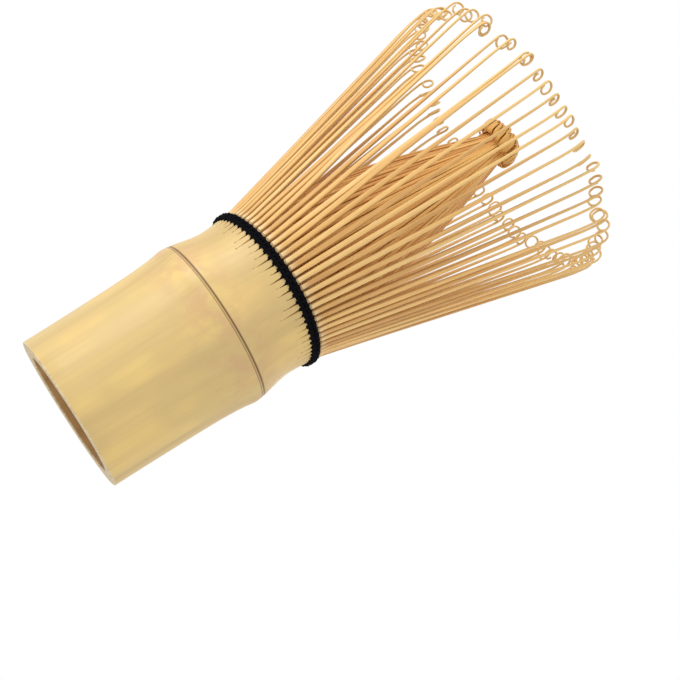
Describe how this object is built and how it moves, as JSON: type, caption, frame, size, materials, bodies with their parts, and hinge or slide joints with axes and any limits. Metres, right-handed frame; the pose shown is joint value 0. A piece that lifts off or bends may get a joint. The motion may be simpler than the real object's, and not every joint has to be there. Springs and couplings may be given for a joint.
{
  "type": "bamboo tea whisk",
  "caption": "Bamboo tea whisk standing on a hollow cane handle, with a ring of hooked tines that flares around a closed inner bundle, bound with dark thread.",
  "frame": {"origin": "centre of the handle's cut end, which is the bottom of the whisk", "axes": "+Z along the handle's axis up to the tips; the thread band is higher on the -Y side"},
  "size_m": [0.061, 0.061, 0.105],
  "materials": {
    "culm_skin": "smooth pale bamboo skin with long soft streaks",
    "outer_tines": "shaved bamboo, satin",
    "inner_tines": "split inner bamboo, matt",
    "thread": "black cotton thread"
  },
  "bodies": {
    "handle": {"handle_culm": "culm_skin", "binding_thread": "thread", "lacing_thread": "thread", "thread_knot": "thread"},
    "outer_tines_01": {"outer_tines_01": "outer_tines"},
    "outer_tines_02": {"outer_tines_02": "outer_tines"},
    "outer_tines_03": {"outer_tines_03": "outer_tines"},
    "outer_tines_04": {"outer_tines_04": "outer_tines"},
    "outer_tines_05": {"outer_tines_05": "outer_tines"},
    "outer_tines_06": {"outer_tines_06": "outer_tines"},
    "outer_tines_07": {"outer_tines_07": "outer_tines"},
    "outer_tines_08": {"outer_tines_08": "outer_tines"},
    "outer_tines_09": {"outer_tines_09": "outer_tines"},
    "outer_tines_10": {"outer_tines_10": "outer_tines"},
    "outer_tines_11": {"outer_tines_11": "outer_tines"},
    "outer_tines_12": {"outer_tines_12": "outer_tines"},
    "outer_tines_13": {"outer_tines_13": "outer_tines"},
    "outer_tines_14": {"outer_tines_14": "outer_tines"},
    "outer_tines_15": {"outer_tines_15": "outer_tines"},
    "outer_tines_16": {"outer_tines_16": "outer_tines"},
    "outer_tines_17": {"outer_tines_17": "outer_tines"},
    "outer_tines_18": {"outer_tines_18": "outer_tines"},
    "inner_tines_01": {"inner_tines_01": "inner_tines"},
    "inner_tines_02": {"inner_tines_02": "inner_tines"},
    "inner_tines_03": {"inner_tines_03": "inner_tines"},
    "inner_tines_04": {"inner_tines_04": "inner_tines"},
    "inner_tines_05": {"inner_tines_05": "inner_tines"},
    "inner_tines_06": {"inner_tines_06": "inner_tines"},
    "inner_tines_07": {"inner_tines_07": "inner_tines"},
    "inner_tines_08": {"inner_tines_08": "inner_tines"},
    "inner_tines_09": {"inner_tines_09": "inner_tines"}
  },
  "joints": [
    {"name": "outer_flex_01", "type": "hinge", "parent": "handle", "child": "outer_tines_01", "pos_m": [0.01527, 0.00269, 0.04373], "axis": [-0.1736, 0.9848, 0], "range_deg": [-4, 6], "stiffness_Nm_per_rad": 0.12},
    {"name": "outer_flex_02", "type": "hinge", "parent": "handle", "child": "outer_tines_02", "pos_m": [0.01342, 0.00775, 0.04322], "axis": [-0.5, 0.866, 0], "range_deg": [-4, 6], "stiffness_Nm_per_rad": 0.12},
    {"name": "outer_flex_03", "type": "hinge", "parent": "handle", "child": "outer_tines_03", "pos_m": [0.00996, 0.01187, 0.0428], "axis": [-0.766, 0.6428, 0], "range_deg": [-4, 6], "stiffness_Nm_per_rad": 0.12},
    {"name": "outer_flex_04", "type": "hinge", "parent": "handle", "child": "outer_tines_04", "pos_m": [0.0053, 0.01456, 0.04253], "axis": [-0.9397, 0.342, 0], "range_deg": [-4, 6], "stiffness_Nm_per_rad": 0.12},
    {"name": "outer_flex_05", "type": "hinge", "parent": "handle", "child": "outer_tines_05", "pos_m": [0, 0.0155, 0.04244], "axis": [-1, 0, 0], "range_deg": [-4, 6], "stiffness_Nm_per_rad": 0.12},
    {"name": "outer_flex_06", "type": "hinge", "parent": "handle", "child": "outer_tines_06", "pos_m": [-0.0053, 0.01456, 0.04253], "axis": [-0.9397, -0.342, 0], "range_deg": [-4, 6], "stiffness_Nm_per_rad": 0.12},
    {"name": "outer_flex_07", "type": "hinge", "parent": "handle", "child": "outer_tines_07", "pos_m": [-0.00996, 0.01187, 0.0428], "axis": [-0.766, -0.6428, 0], "range_deg": [-4, 6], "stiffness_Nm_per_rad": 0.12},
    {"name": "outer_flex_08", "type": "hinge", "parent": "handle", "child": "outer_tines_08", "pos_m": [-0.01342, 0.00775, 0.04322], "axis": [-0.5, -0.866, 0], "range_deg": [-4, 6], "stiffness_Nm_per_rad": 0.12},
    {"name": "outer_flex_09", "type": "hinge", "parent": "handle", "child": "outer_tines_09", "pos_m": [-0.01527, 0.00269, 0.04373], "axis": [-0.1736, -0.9848, 0], "range_deg": [-4, 6], "stiffness_Nm_per_rad": 0.12},
    {"name": "outer_flex_10", "type": "hinge", "parent": "handle", "child": "outer_tines_10", "pos_m": [-0.01527, -0.00269, 0.04427], "axis": [0.1736, -0.9848, 0], "range_deg": [-4, 6], "stiffness_Nm_per_rad": 0.12},
    {"name": "outer_flex_11", "type": "hinge", "parent": "handle", "child": "outer_tines_11", "pos_m": [-0.01342, -0.00775, 0.04478], "axis": [0.5, -0.866, 0], "range_deg": [-4, 6], "stiffness_Nm_per_rad": 0.12},
    {"name": "outer_flex_12", "type": "hinge", "parent": "handle", "child": "outer_tines_12", "pos_m": [-0.00996, -0.01187, 0.0452], "axis": [0.766, -0.6428, 0], "range_deg": [-4, 6], "stiffness_Nm_per_rad": 0.12},
    {"name": "outer_flex_13", "type": "hinge", "parent": "handle", "child": "outer_tines_13", "pos_m": [-0.0053, -0.01456, 0.04547], "axis": [0.9397, -0.342, 0], "range_deg": [-4, 6], "stiffness_Nm_per_rad": 0.12},
    {"name": "outer_flex_14", "type": "hinge", "parent": "handle", "child": "outer_tines_14", "pos_m": [0, -0.0155, 0.04556], "axis": [1, 0, 0], "range_deg": [-4, 6], "stiffness_Nm_per_rad": 0.12},
    {"name": "outer_flex_15", "type": "hinge", "parent": "handle", "child": "outer_tines_15", "pos_m": [0.0053, -0.01456, 0.04547], "axis": [0.9397, 0.342, 0], "range_deg": [-4, 6], "stiffness_Nm_per_rad": 0.12},
    {"name": "outer_flex_16", "type": "hinge", "parent": "handle", "child": "outer_tines_16", "pos_m": [0.00996, -0.01187, 0.0452], "axis": [0.766, 0.6428, 0], "range_deg": [-4, 6], "stiffness_Nm_per_rad": 0.12},
    {"name": "outer_flex_17", "type": "hinge", "parent": "handle", "child": "outer_tines_17", "pos_m": [0.01342, -0.00775, 0.04478], "axis": [0.5, 0.866, 0], "range_deg": [-4, 6], "stiffness_Nm_per_rad": 0.12},
    {"name": "outer_flex_18", "type": "hinge", "parent": "handle", "child": "outer_tines_18", "pos_m": [0.01527, -0.00269, 0.04427], "axis": [0.1736, 0.9848, 0], "range_deg": [-4, 6], "stiffness_Nm_per_rad": 0.12},
    {"name": "inner_flex_01", "type": "hinge", "parent": "handle", "child": "inner_tines_01", "pos_m": [0.0124, 0.00451, 0.04355], "axis": [-0.342, 0.9397, 0], "range_deg": [0, 3], "stiffness_Nm_per_rad": 0.25},
    {"name": "inner_flex_02", "type": "hinge", "parent": "handle", "child": "inner_tines_02", "pos_m": [0.0066, 0.01143, 0.04285], "axis": [-0.866, 0.5, 0], "range_deg": [0, 3], "stiffness_Nm_per_rad": 0.25},
    {"name": "inner_flex_03", "type": "hinge", "parent": "handle", "child": "inner_tines_03", "pos_m": [-0.00229, 0.013, 0.04269], "axis": [-0.9848, -0.1736, 0], "range_deg": [0, 3], "stiffness_Nm_per_rad": 0.25},
    {"name": "inner_flex_04", "type": "hinge", "parent": "handle", "child": "inner_tines_04", "pos_m": [-0.01011, 0.00848, 0.04314], "axis": [-0.6428, -0.766, 0], "range_deg": [0, 3], "stiffness_Nm_per_rad": 0.25},
    {"name": "inner_flex_05", "type": "hinge", "parent": "handle", "child": "inner_tines_05", "pos_m": [-0.0132, 0, 0.044], "axis": [0, -1, 0], "range_deg": [0, 3], "stiffness_Nm_per_rad": 0.25},
    {"name": "inner_flex_06", "type": "hinge", "parent": "handle", "child": "inner_tines_06", "pos_m": [-0.01011, -0.00848, 0.04486], "axis": [0.6428, -0.766, 0], "range_deg": [0, 3], "stiffness_Nm_per_rad": 0.25},
    {"name": "inner_flex_07", "type": "hinge", "parent": "handle", "child": "inner_tines_07", "pos_m": [-0.00229, -0.013, 0.04531], "axis": [0.9848, -0.1736, 0], "range_deg": [0, 3], "stiffness_Nm_per_rad": 0.25},
    {"name": "inner_flex_08", "type": "hinge", "parent": "handle", "child": "inner_tines_08", "pos_m": [0.0066, -0.01143, 0.04515], "axis": [0.866, 0.5, 0], "range_deg": [0, 3], "stiffness_Nm_per_rad": 0.25},
    {"name": "inner_flex_09", "type": "hinge", "parent": "handle", "child": "inner_tines_09", "pos_m": [0.0124, -0.00451, 0.04446], "axis": [0.342, 0.9397, 0], "range_deg": [0, 3], "stiffness_Nm_per_rad": 0.25}
  ]
}
